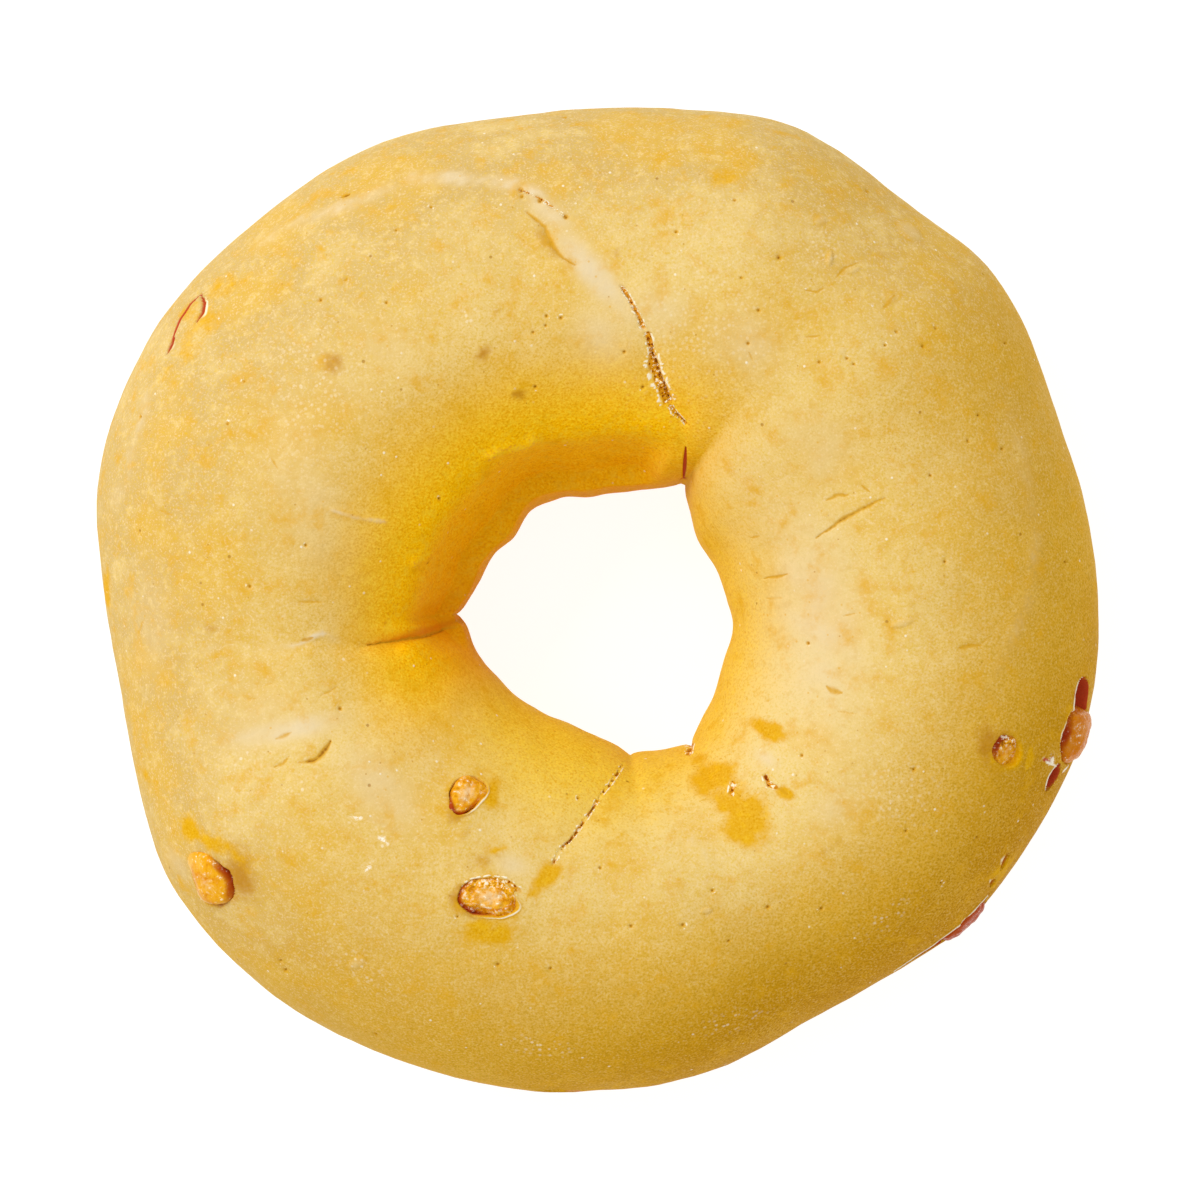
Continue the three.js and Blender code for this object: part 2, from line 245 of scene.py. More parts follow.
# Short wrinkles, creases and nicks in the skin: points, half width, depth and how brown they are.
MARKS = [
    ([(-14.3, -1.9), (-16.0, -2.9), (-18.0, -3.6), (-20.6, -4.1), (-23.6, -4.6)], 0.16, 0.5, 0.62),
    ([(-7.6, 40.6), (-6.5, 39.7), (-5.7, 39.0), (-5.3, 37.9), (-4.6, 36.6), (-3.8, 35.6), (-2.5, 34.9)],
     0.24, 0.35, 0.62),
    ([(-26.9, 42.0), (-26.0, 42.4)], 0.16, 0.3, 1.0),
    ([(23.7, 10.4), (24.8, 10.9), (25.9, 11.0)], 0.24, 0.15, 0.6),
    ([(27.4, 12.0), (28.2, 11.3)], 0.14, 0.1, 0.5),
    ([(22.7, 6.5), (24.4, 7.7), (25.4, 8.5), (26.8, 9.1), (28.3, 10.0), (29.8, 10.6)], 0.2, 0.25, 0.75),
    ([(17.4, 2.3), (18.8, 2.5), (19.8, 2.7)], 0.16, 0.15, 0.6),
    ([(17.6, 0.2), (19.2, 0.3)], 0.18, 0.05, 0.3),
    ([(16.0, 6.6), (16.9, 6.8)], 0.15, 0.05, 0.45),
    ([(25.4, -1.7), (26.7, -1.4)], 0.14, 0.1, 0.45),
    ([(37.5, -5.0), (38.6, -4.8), (39.9, -4.7)], 0.24, 0.15, 0.6),
    ([(39.8, -4.6), (41.0, -3.7)], 0.12, 0.05, 0.4),
    ([(23.6, -9.0), (24.4, -9.5), (25.2, -9.7)], 0.3, 0.15, 0.6),
    ([(24.8, -11.6), (27.0, -11.9)], 0.14, 0.08, 0.3),
    ([(-28.0, -14.7), (-28.7, -15.8), (-29.8, -16.7), (-30.6, -16.9)], 0.26, 0.35, 1.0),
    ([(-29.8, -16.8), (-31.6, -16.9)], 0.18, 0.1, 0.45),
    ([(-32.4, -16.3), (-33.0, -17.0), (-33.9, -17.4)], 0.18, 0.15, 0.6),
    ([(-32.1, -13.8), (-33.7, -14.5)], 0.24, 0.1, 0.4),
    ([(-27.2, -8.9), (-29.0, -10.0)], 0.14, 0.1, 0.4),
    ([(-35.6, -10.2), (-37.0, -10.4)], 0.14, 0.05, 0.3),
    ([(-34.0, -8.6), (-35.2, -8.9)], 0.14, 0.05, 0.3),
    ([(-29.8, -4.0), (-31.0, -4.3)], 0.16, 0.2, 0.7),
    ([(-28.6, -0.2), (-31.6, -0.2)], 0.13, 0.1, 0.5),
    ([(-33.4, 13.6), (-34.2, 14.8)], 0.14, 0.08, 0.4),
    ([(-44.6, 8.8), (-46.0, 9.4)], 0.16, 0.08, 0.45),
    ([(-47.8, -2.0), (-48.4, -3.4)], 0.14, 0.05, 0.4),
    ([(18.4, -19.6), (19.6, -20.2)], 0.2, 0.2, 0.6),
    ([(24.6, 33.6), (25.6, 34.6), (27.0, 35.2)], 0.16, 0.12, 0.6),
    ([(21.4, 32.4), (22.6, 32.1), (23.4, 32.6)], 0.15, 0.12, 0.5),
    ([(21.4, 27.4), (23.0, 27.6)], 0.14, 0.1, 0.45),
    ([(29.6, 30.4), (30.8, 31.8)], 0.2, 0.15, 0.6),
    ([(15.6, 25.8), (15.9, 24.9)], 0.13, 0.1, 0.5),
    ([(4.1, -40.6), (4.0, -41.6)], 0.13, 0.1, 0.5),
    ([(34.0, -34.0), (34.9, -34.8)], 0.16, 0.2, 0.8),
]
# Pinholes that burst in the skin: (x, y) and radius.
PITS = [
    (-8.2, 42.8, 0.26), (-8.1, 42.2, 0.18), (-6.2, 41.7, 0.24), (-3.5, 40.0, 0.24), (-6.7, 22.3, 0.18),
    (-29.1, 31.3, 0.2), (-22.2, 31.0, 0.16), (-38.8, 18.4, 0.16), (-37.1, 22.8, 0.14), (-48.1, 19.2, 0.16),
    (-21.2, 38.6, 0.15), (-17.6, 41.1, 0.14), (-36.5, 1.4, 0.18), (-16.6, 10.5, 0.16), (-30.6, 5.7, 0.15),
    (4.5, 22.1, 0.17), (2.6, 25.9, 0.17), (-4.0, 29.4, 0.18), (-5.5, 29.6, 0.16), (-5.6, 28.6, 0.13),
    (-6.9, 27.9, 0.14), (-3.6, 50.7, 0.15), (34.5, 13.0, 0.15), (42.1, 15.8, 0.17), (38.5, 16.6, 0.15),
    (21.7, -4.5, 0.17), (36.0, 4.0, 0.16), (48.8, 4.0, 0.16), (14.1, 41.7, 0.15), (28.2, 43.1, 0.15),
    (18.7, 35.7, 0.25), (16.6, 30.2, 0.18), (15.5, 26.7, 0.16), (33.8, 26.5, 0.18), (31.0, 28.0, 0.14),
    (35.1, 28.4, 0.14), (22.9, 24.8, 0.16), (25.8, 25.2, 0.15), (26.5, 24.6, 0.14), (29.8, 26.6, 0.14),
    (42.4, 26.9, 0.17), (39.6, 19.3, 0.16), (-23.5, -45.6, 0.17), (-32.9, -38.8, 0.2), (-33.4, -37.8, 0.15),
    (-5.1, -38.5, 0.17), (-10.6, -38.1, 0.2), (3.3, -34.0, 0.17), (11.8, -30.3, 0.16), (8.7, -33.9, 0.18),
    (0.1, -27.9, 0.15), (-2.2, -20.6, 0.14), (21.1, -16.2, 0.16), (32.8, -17.7, 0.18), (17.6, -32.1, 0.22),
    (23.2, -32.3, 0.2), (39.4, -24.7, 0.18), (32.0, -24.1, 0.15), (35.6, -29.5, 0.14), (-27.0, -11.3, 0.2),
    (13.5, -35.6, 0.16), (-14.8, -33.0, 0.13), (8.0, 38.4, 0.18), (14.8, 33.6, 0.14), (-26.4, 33.4, 0.13),
]
# Small blisters under the skin: (x, y), half sizes, turn in degrees and height.
BLISTERS = [
    ((32.6, 38.7), (1.5, 0.7), -40, 0.16), ((24.0, 35.6), (0.3, 0.85), -5, 0.22),
    ((31.5, -2.4), (1.2, 0.4), 15, 0.12), ((23.1, 39.6), (0.7, 0.5), 20, 0.1),
    ((30.4, 31.3), (0.3, 0.75), -35, 0.12), ((11.2, -32.4), (0.6, 0.35), 10, 0.12),
    ((26.6, 34.4), (0.7, 0.25), 25, 0.1), ((25.2, 26.0), (0.5, 0.4), 0, 0.08),
    ((-25.4, -38.0), (1.0, 0.6), 30, 0.1),
]
# Fat from the filling has stained the skin orange: (x, y), half sizes, turn in degrees and strength.
STAINS = [
    ((12.2, -18.9), (3.0, 2.5), 10, 1.0), ((15.3, -22.7), (3.2, 2.9), 35, 1.0),
    ((17.6, -13.5), (2.1, 0.95), -25, 0.9), ((10.6, -17.2), (1.6, 1.0), 40, 0.6),
    ((14.0, -20.8), (2.6, 2.6), 0, 0.9), ((19.2, -20.1), (1.2, 0.6), -25, 0.7),
    ((-5.4, -28.8), (1.9, 1.2), 50, 1.0), ((-6.8, -30.4), (1.3, 0.4), 40, 0.6),
    ((-11.5, -34.6), (2.8, 1.4), -6, 1.0), ((-11.2, -20.2), (0.9, 2.1), -20, 0.95),
    ((-42.8, -23.9), (0.8, 1.6), 20, 1.0), ((-39.6, -25.4), (2.6, 1.0), -30, 0.75),
    ((-39.2, 32.5), (2.0, 1.1), 35, 0.7), ((-42.8, 25.8), (1.7, 1.1), 50, 0.6),
    ((-41.6, 28.6), (3.2, 1.5), 55, 0.4), ((-45.6, 23.6), (1.6, 0.7), 60, 0.5),
    ((-42.6, 30.2), (0.9, 1.8), -25, 0.4), ((44.7, -16.9), (0.4, 1.7), -8, 1.0),
    ((12.3, 43.9), (1.2, 1.1), 0, 0.6), ((-51.6, 1.2), (0.5, 2.6), 0, 0.95),
    ((-47.4, -17.9), (0.35, 0.7), 10, 1.0), ((-10.2, -26.0), (1.6, 0.3), 10, 0.75),
    ((42.0, -28.2), (0.7, 2.2), -35, 0.6), ((-16.6, -22.4), (0.7, 1.2), 30, 0.5),
]

# The baked-in chips. Their centres come from the frame. turn is the way of the long axis on the skin, counted
# from the way round the ring. shows is the length and width that show, thick the whole thickness and proud
# how far the chip stands out. taper widens its outline towards one end, point narrows an end and bow bends
# it. gap and lip are the azimuths where the skin has drawn back from the chip and where it curls over it,
# open is how far the mouth of the pocket is moved towards the gap, and curl how white the lip is. rough is
# how lumpy the chip is, burnt how dark, film how much dough has dried on it, froth how much it has bubbled,
# and the key after film the strength of the painted highlight in its middle. A plain chip has none of what
# isn't given.
PLAIN_CHIP = dict.fromkeys(("taper", "point", "bow", "open", "curl", "burnt", "film", "pale_highlight", "froth"), 0.0)
CHIPS = {
    "chip_1": PLAIN_CHIP | {
        "turn": -22, "shows": (6.4, 5.3), "thick": 4.6, "proud": 1.2, "taper": 0.05, "point": -0.25,
        "bow": -0.4, "gap": 12, "lip": 200, "open": 0.42, "curl": 0.3, "rough": 0.32, "film": 1.0,
        "pale_highlight": 0.35, "froth": 0.05,
    },
    "chip_2": PLAIN_CHIP | {
        "turn": 80, "shows": (5.0, 3.4), "thick": 3.4, "proud": 0.6, "taper": 0.05, "point": -0.4,
        "bow": -0.2, "gap": 230, "lip": -40, "open": 0.12, "curl": 0.9, "rough": 1.1, "film": 0.1,
        "pale_highlight": 0.7, "froth": 0.2,
    },
    "chip_3": PLAIN_CHIP | {
        "turn": 8, "shows": (6.5, 3.8), "thick": 3.8, "proud": 0.6, "point": 0.25, "bow": -0.3,
        "gap": 195, "lip": -55, "open": 0.15, "curl": 0.9, "rough": 1.5, "pale_highlight": 0.75, "froth": 0.9,
    },
    "chip_4": PLAIN_CHIP | {
        "turn": 0, "shows": (5.6, 3.2), "thick": 3.6, "proud": -0.25, "gap": 20, "lip": 20, "rough": 0.5,
    },
    "chip_5": PLAIN_CHIP | {
        "turn": 40, "shows": (3.1, 2.8), "thick": 3.2, "proud": 0.1, "gap": 140, "lip": -30, "open": 0.7,
        "curl": 0.2, "rough": 1.6, "burnt": 0.15, "pale_highlight": 0.3, "froth": 0.9,
    },
    "chip_6": PLAIN_CHIP | {
        "turn": 2, "shows": (6.0, 6.2), "thick": 5.2, "proud": 1.3, "taper": 0.1, "point": -0.2,
        "bow": 0.1, "gap": 165, "lip": 165, "open": 1.3, "curl": 0.9, "rough": 0.5, "burnt": 0.6,
        "pale_highlight": 0.1, "froth": 0.12,
    },
    "chip_7": PLAIN_CHIP | {
        "turn": 2, "shows": (6.0, 4.0), "thick": 4.2, "proud": 0.75, "gap": 135, "lip": 135,
        "open": 0.35, "curl": 0.9, "rough": 0.6, "burnt": 0.95,
    },
    "chip_8": PLAIN_CHIP | {
        "turn": 0, "shows": (4.6, 1.4), "thick": 3.2, "proud": 0.1, "gap": 90, "lip": 90, "open": 0.3,
        "curl": 0.5, "rough": 0.5, "burnt": 0.7,
    },
}
# Tears that run on past their chip, in the chip's own axes: middle, half length and width, depth, and how
# blunt their ends are.
CHIP_TEARS = {
    "chip_6": [{"middle": (3.9, 1.4), "half": (2.5, 1.7), "depth": 2.0, "blunt": 4},
               {"middle": (-4.5, 2.3), "half": (1.6, 1.1), "depth": 1.8, "blunt": 1.5}],
    "chip_7": [{"middle": (-2.6, 1.4), "half": (6.6, 0.7), "depth": 1.3, "blunt": 2}],
}
# Slits in the skin, mostly over a hidden chip: points, half width, depth and how far the edge has curled up.
SLITS = [
    ([(9.0, 15.6), (8.9, 12.4)], 0.2, 0.2, 0.0),
    ([(-41.9, 29.0), (-41.3, 29.9), (-41.2, 30.9), (-41.6, 31.9)], 0.22, 0.4, 0.8),
    ([(-41.7, 31.8), (-42.7, 30.9), (-43.8, 29.3), (-44.4, 27.8), (-45.1, 26.0)], 0.12, 0.12, 0.25),
    ([(-45.2, 25.8), (-44.8, 26.6), (-44.4, 27.4)], 0.2, 0.35, 0.5),
    ([(42.7, -26.5), (42.0, -28.0)], 0.2, 0.6, 0.7),
    ([(41.3, -29.2), (40.9, -29.9)], 0.22, 0.6, 0.7),
    ([(46.2, -16.5), (47.0, -16.9), (47.9, -17.2)], 0.06, 0.04, 1.1),
    ([(46.9, -17.1), (47.0, -16.6), (47.3, -16.1)], 0.06, 0.04, 1.1),
    ([(49.3, -17.0), (48.6, -17.8), (48.2, -18.2)], 0.06, 0.1, 1.0),
]
CHIP_REACH = 9.0  # how far from a chip its pocket and its lips can change the skin
CHIP_BELOW = 4.0  # and how far under the skin it still does
POCKET_DEPTH = 2.2
LIP_HEIGHT = 0.16


def chip_seat(name):
    """Where a chip sits: the point on the skin over its middle, and its axes along, across and out."""
    low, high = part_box(name)
    centre = np.array((low + high) / 2) / MM - SHIFT
    azimuth = math.degrees(math.atan2(centre[1], centre[0])) % 360
    middle, half, crown, waist = roll_size(azimuth)
    out_share = (math.hypot(centre[0], centre[1]) - middle) / half
    tilt = math.degrees(math.atan2((centre[2] - waist) / (crown - waist), out_share))
    way_round, up, out = skin_axes(azimuth, tilt)
    turn = math.radians(CHIPS[name]["turn"])
    along = way_round * math.cos(turn) + up * math.sin(turn)
    return skin(azimuth, tilt), np.array((along, np.cross(out, along), out))


def path_offset(points, path):
    """For points seen from above: the distance to a path, positive on its left, and the share along it."""
    nearest = np.full(len(points), 1e9)
    signed = np.zeros(len(points))
    share = np.zeros(len(points))
    for i in range(len(path) - 1):
        start, end = np.array(path[i]), np.array(path[i + 1])
        way = end - start
        along = np.clip(((points[:, :2] - start) @ way) / (way @ way), 0, 1)
        gap = points[:, :2] - start - along[:, None] * way
        distance = np.hypot(gap[:, 0], gap[:, 1])
        closer = distance < nearest
        side = np.sign(way[0] * gap[:, 1] - way[1] * gap[:, 0])
        nearest = np.where(closer, distance, nearest)
        signed = np.where(closer, distance * side, signed)
        share = np.where(closer, (i + along) / (len(path) - 1), share)
    return signed, share


def oval(points, middle, half, turn):
    """How far points seen from above are from an oval's middle, in shares of its half sizes."""
    angle = math.radians(turn)
    x, y = points[:, 0] - middle[0], points[:, 1] - middle[1]
    along = x * math.cos(angle) + y * math.sin(angle)
    across = y * math.cos(angle) - x * math.sin(angle)
    return np.hypot(along / half[0], across / half[1])


def grain(points, size):
    """Smooth noise from about -1 to 1 whose lumps are size millimetres across."""
    return np.array([noise.noise(Vector(point) / size) for point in points])


def chip_view(name, points):
    """Points in a chip's own axes, which of them lie near it, and their azimuth about it from above."""
    origin, axes = chip_seat(name)
    local = (points - origin) @ axes.T
    near = (np.abs(local) < CHIP_REACH).all(axis=1) & (local[:, 2] > -CHIP_BELOW)
    bearing = np.degrees(np.arctan2(points[:, 1] - origin[1], points[:, 0] - origin[0]))
    return local, near, bearing


def chip_form(chip, along):
    """At a share along a chip: its width and where its middle line lies, in shares of its half width."""
    share = np.clip(along, -1, 1)
    end = np.clip(share * np.sign(chip["point"]), 0, 1)
    return 1 + chip["taper"] * share - abs(chip["point"]) * end**2, chip["bow"] * (share**2 - 0.5)


def towards(bearing, azimuth):
    """1 on the side that looks to an azimuth, fading to 0 at right angles to it."""
    return np.clip(np.cos(np.radians(bearing - azimuth)), 0, 1)


def near_feature(points, tilt, margin):
    """Where the skin has small shapes that need a finer mesh, within a margin around them."""
    top = tilt > -20
    fine = np.zeros(len(points), bool)
    lines = [(path, half) for path, half, _, _ in TEARS + SLITS + MARKS]
    lines += [(path, 0.3) for path, _, _, _ in SHARP_RIDGES] + [(SEAMS[0]["path"][:3], 0.6)]
    for path, half in lines:
        fine |= top & (np.abs(path_offset(points, path)[0]) < half + margin)
    for x, y, radius in PITS:
        fine |= top & (np.hypot(points[:, 0] - x, points[:, 1] - y) < radius + margin)
    for middle, half, turn, _ in BLISTERS:
        fine |= top & (oval(points, middle, np.array(half) + margin, turn) < 1.2)
    for name, chip in CHIPS.items():
        local, near, _ = chip_view(name, points)
        reach = np.array(chip["shows"]) / 2 + 0.5 + chip["open"] + margin
        fine |= near & (np.hypot(local[:, 0] / reach[0], local[:, 1] / reach[1]) < 1)
    for name, tears in CHIP_TEARS.items():
        local, near, _ = chip_view(name, points)
        for tear in tears:
            away = np.abs(local[:, :2] - tear["middle"]) - np.array(tear["half"]) - 0.3 - margin
            fine |= near & (away.max(axis=1) < 0)
    return fine


def skin_relief(points, tilt):
    """How far the real skin stands off the smooth one, and the masks that colour it."""
    tilt = np.where(tilt < -90, tilt + 360, tilt)
    count = len(points)
    relief = np.zeros(count)
    names = ("stain", "pale_and_lit", "white", "flake_and_glint", "crumb", "mark", "fold", "pocket_and_shade", "smudge_and_shade")
    masks = {name: np.zeros(count) for name in names}

    def lay(name, value):
        masks[name] = np.maximum(masks[name], value)

    top = smoothstep(np.sin(np.radians(tilt)), -0.5, 0.15)
    crumb = grain(points, 0.32)
    fine = grain(points, 0.8)
    coarse = grain(points, 2.4)

    # broad unevenness of a hand-rolled rope, then the dimples and the fine puckers of boiled skin
    relief += 0.42 * grain(points, 17.0) + 0.15 * grain(points, 7.0) + 0.06 * coarse + 0.02 * fine

    # the wall of the hole is drawn into upright folds
    wall = smoothstep(tilt, 120, 150) * (1 - smoothstep(tilt, 190, 215))
    relief += 0.3 * wall * grain(points * (1, 1, 0.3), 3.6)

    for seam in SEAMS:
        off, share = path_offset(points, seam["path"])
        off = off + 0.25 * coarse
        deep, shallow = seam["depth"]
        depth = shallow + (deep - shallow) * (1 - share) ** seam["fall"]
        spread = np.where(off > 0, seam["left"], seam["right"])
        ends = top * (1 - smoothstep(share, 0.85, 1.0)) * (1 - smoothstep(tilt, 115, 148))
        relief -= ends * depth * np.exp(-((np.abs(off) / spread) ** 1.3))
        side = 0.5 - smoothstep(off, -0.5, 0.5)
        relief += ends * seam["step"] * (1 - share) * np.exp(-np.abs(off) / 3.5) * side
    # painted shade along the crease of the left seam, on its upper side
    off, share = path_offset(points, SEAMS[0]["path"][:4])
    lay("fold", top * bell(off + 0.35, 0.65) * (1 - smoothstep(share, 0.5, 1.0)))
    # a tear is a ragged groove with a thin pale lip on both sides
    for path, half, depth, dashes in TEARS:
        off, share = path_offset(points, path)
        away = np.abs(off + 0.12 * fine) / (half * (1 + 0.45 * fine))
        ends = smoothstep(share, -0.02, 0.1) * (1 - smoothstep(share, 0.9, 1.02))
        gate = 1 - dashes * smoothstep(fine + 0.6 * crumb, -0.2, 0.15)
        inside = top * ends * gate * (1 - smoothstep(away, 0.7, 1.3))
        relief -= inside * depth * (1 + crumb)
        lip = top * ends * bell(away - 1.55, 0.4) * smoothstep(crumb + 0.3 * fine, -0.3, 0.15)
        relief += 0.08 * lip
        lay("crumb", inside)
        lay("white", lip)
    for path, height, half, strength in RIDGES:
        off, share = path_offset(points, path)
        ends = top * smoothstep(share, 0.0, 0.2) * (1 - smoothstep(share, 0.75, 1.0))
        line = ends * bell(off + 0.3 * coarse, half)
        relief += line * height * (1 + 0.5 * coarse)
        lay("pale_and_lit", line * strength * (1 + 0.9 * coarse + 0.6 * fine))
    # pale patches, some of them painted light
    for middle, half, turn, strength in PALE_AND_LIT_PATCHES:
        lay("pale_and_lit", strength * top * bell(oval(points, middle, half, turn)) * (1 + 0.3 * coarse))
    # white flakes, and a few painted glints
    for middle, half, turn, strength in FLAKES_AND_GLINTS:
        lay("flake_and_glint", strength * top * bell(oval(points, middle, half, turn)))
    # browner smudges, and painted shadow beside a chip
    for middle, half, turn, strength in SMUDGES_AND_SHADE:
        lay("smudge_and_shade", strength * top * bell(oval(points, middle, half, turn)) * (1 + 0.5 * coarse))
    for path, half, depth, brown in MARKS:
        off, share = path_offset(points, path)
        taper = half * (0.35 + 0.75 * np.sin(np.pi * share)) * (1 + 0.4 * fine)
        groove = top * np.exp(-(np.abs((off + 0.1 * fine) / taper) ** 1.6))
        relief -= 0.6 * groove * depth
        lay("mark", groove * brown * (1 + 0.4 * crumb))
        relief -= 0.15 * depth * top * bell(off, 0.35 + 2 * half)
    for x, y, radius in PITS:
        away = np.hypot(points[:, 0] - x, points[:, 1] - y) / radius
        pit = top * bell(away)
        relief -= 0.25 * pit
        lay("mark", pit)
        lay("white", 0.8 * top * bell(away - 2.0, 0.4) * smoothstep(fine + crumb, 0.1, 0.6))
    for middle, half, turn, height in BLISTERS:
        away = oval(points, middle, half, turn)
        relief += top * height * np.exp(-(away ** 4))
        rim = top * bell(away - 1.15, 0.2) * (0.6 + 0.6 * fine)
        relief -= 0.05 * rim
        lay("mark", 0.35 * rim)
        lay("pale_and_lit", 0.3 * top * np.exp(-(away ** 4)))
    for middle, half, turn, strength in STAINS:
        away = oval(points, middle, half, turn) + 0.25 * coarse
        lay("stain", top * strength * (1 - smoothstep(away, 0.35, 1.3)))
    # the inside of a slit is dark red, deepened as painted shade
    for path, half, depth, curl in SLITS:
        off, share = path_offset(points, path)
        taper = half * (0.4 + 0.7 * np.sin(np.pi * share))
        inside = top * (1 - smoothstep(np.abs(off), 0.6 * taper, 1.25 * taper))
        lip = top * bell(off + 1.9 * taper, 0.16) * np.sin(np.pi * share)
        relief += 0.1 * curl * lip - depth * inside
        lay("pocket_and_shade", inside)
        lay("white", curl * lip)

    # the dough swells a little over each chip. Where the chip shows, the skin drops into its pocket, dark red
    # and deepened with painted shade on the gap's side, with a brown painted shadow beside it there, and its
    # edge is a raised lip, stained and whitish
    for name, chip in CHIPS.items():
        local, near, bearing = chip_view(name, points)
        half = np.array(chip["shows"]) / 2
        gap, lip_side = towards(bearing, chip["gap"]), towards(bearing, chip["lip"])
        wide, bent = chip_form(chip, local[:, 0] / half[0])
        away = np.hypot(local[:, 0] / half[0], (local[:, 1] / half[1] - bent) / wide)
        away = away * (1 + 0.14 * coarse + 0.07 * fine)
        beyond = (away - 1) * half.mean() - chip["open"] * gap
        relief += 0.3 * near * bell(np.hypot(local[:, 0] / 4.4, local[:, 1] / 3.4))
        if chip["proud"] < 0:
            continue
        hollow = near * (1 - smoothstep(beyond, -0.3, 0.08))
        lip = near * bell(beyond - 0.22, 0.14) * (0.15 + 0.85 * lip_side)
        relief += LIP_HEIGHT * lip - POCKET_DEPTH * hollow * (0.3 + 0.7 * gap)
        lay("pocket_and_shade", near * (1 - smoothstep(beyond, -0.1, 0.12)) * (0.25 + 0.75 * gap))
        lay("smudge_and_shade", 0.8 * near * gap * bell(np.clip(beyond - 0.1, 0, None), 0.9))
        lay("stain", near * (0.3 + 0.55 * lip_side) * bell(np.clip(beyond, 0, None), 0.6))
        lay("white", near * chip["curl"] * lip_side * bell(beyond - 0.26, 0.12) * (1 + 0.4 * fine))
    for name, tears in CHIP_TEARS.items():
        local, near, _ = chip_view(name, points)
        for tear in tears:
            along = np.clip((local[:, 0] - tear["middle"][0]) / tear["half"][0], -1, 1)
            half = tear["half"][1] * (1 - np.abs(along) ** tear["blunt"]) ** 0.6 + 0.02
            across = np.abs(local[:, 1] - tear["middle"][1])
            away = across / half * (1 + 0.1 * fine)
            within = near * (np.abs(along) < 1)
            inside = within * (1 - smoothstep(away, 0.65, 1.05))
            relief -= inside * tear["depth"] * (1 - along**2) ** 0.5
            edge = near * (np.abs(along) < 0.98) * bell(across - half - 0.16, 0.12)
            edge = edge * (local[:, 1] > tear["middle"][1])
            relief += 0.14 * edge
            # the tear's inside is dark red, deepened as painted shade
            lay("pocket_and_shade", within * (1 - smoothstep(away, 1.0, 1.2)))
            lay("white", edge)
    return relief, masks


# The torus is the ring before it is shaped: each of its corners knows its azimuth and its tilt, and small
# shapes get more cuts. Its corners are packed closer over the crown than under the foot.
TORUS_RING, TORUS_ROLL = 0.030, 0.010
RING_STEPS, ROLL_STEPS = 320, 144
CROWN_PACKING = 0.3
FINER_MESH = ((2, 0.7), (1, 0.12))  # cuts, and how far around each small shape they reach
CALM_HEIGHT = 2.5  # under this height the relief dies out towards the flat foot


def ring_angles(corners):
    azimuth = np.degrees(np.arctan2(corners[:, 1], corners[:, 0])) % 360
    roll = np.arctan2(corners[:, 2], np.hypot(corners[:, 0], corners[:, 1]) - TORUS_RING)
    return azimuth, np.degrees(roll + CROWN_PACKING * np.cos(roll))


def read_points(collection, name):
    flat = np.zeros(len(collection) * 3, np.float32)
    collection.foreach_get(name, flat)
    return flat.reshape(-1, 3).astype(float)


def place_corners(mesh, points):
    mesh.vertices.foreach_set("co", (points * MM).astype(np.float32).ravel())


def lay_masks(mesh, masks):
    """Keeps each mask on the mesh's corners, where the material finds it by its name."""
    for name, mask in masks.items():
        attribute = mesh.attributes.new(name, "FLOAT", "POINT")
        attribute.data.foreach_set("value", mask.astype(np.float32))


bpy.ops.object.select_all(action="DESELECT")
bpy.ops.mesh.primitive_torus_add(
    major_radius=TORUS_RING, minor_radius=TORUS_ROLL, major_segments=RING_STEPS, minor_segments=ROLL_STEPS
)
ring = bpy.context.object
ring.name = "dough_skin"
for cuts, margin in FINER_MESH:
    azimuth, tilt = ring_angles(read_points(ring.data.polygons, "center"))
    bpy.ops.object.mode_set(mode="EDIT")
    bpy.ops.mesh.select_mode(type="FACE")
    bpy.ops.mesh.select_all(action="DESELECT")
    bpy.ops.object.mode_set(mode="OBJECT")
    ring.data.polygons.foreach_set("select", near_feature(skin(azimuth, tilt), tilt, margin))
    bpy.ops.object.mode_set(mode="EDIT")
    bpy.ops.mesh.subdivide(number_cuts=cuts)
    bpy.ops.object.mode_set(mode="OBJECT")

azimuth, tilt = ring_angles(read_points(ring.data.vertices, "co"))
smooth = skin(azimuth, tilt)
way_out = skin_axes(azimuth, tilt)[2]
relief, masks = skin_relief(smooth, tilt)
on_foot = 1 - smoothstep(smooth[:, 2], 0.0, CALM_HEIGHT)
relief = relief * (1 - on_foot)
shaped = smooth + relief[:, None] * way_out + SHIFT
shaped[:, 2] = np.maximum(shaped[:, 2], 0)
place_corners(ring.data, shaped)

# How the crust is coloured. The golden mask is painted shade: the crust goes from pale to gold as the roll
# faces away from the softbox, and the brown mask is painted shade beyond that. The toasted mask is the outer
# flank, browned all the way round, and it climbs higher on the side towards the softbox as painted shade that
# holds back its light. The deep mask is the saturated yellow skin on the straight wall of the hole, and the
# moist mask
# the same in the rest of the hole: partly the steamed skin's own colour, partly painted warm shade. The fold
# mask also takes in the orange foot of that wall as painted shade, the edge mask is a dark rim of painted
# shade under it, and the foot mask is the browner base. Pairs of tilts say where a mask starts and where it
# is full, and a climb is how much higher it starts, and is full, at one azimuth, fading within a spread.
SHADE_AZIMUTH = -46
GOLDEN_SHADE_FACING, BROWN_SHADE_FACING = (-0.75, 0.95), (0.46, 0.98)  # by how squarely the skin faces away from the softbox
TOASTED_TILTS, TOASTED_CLIMB = (86, 38), (22, 14)
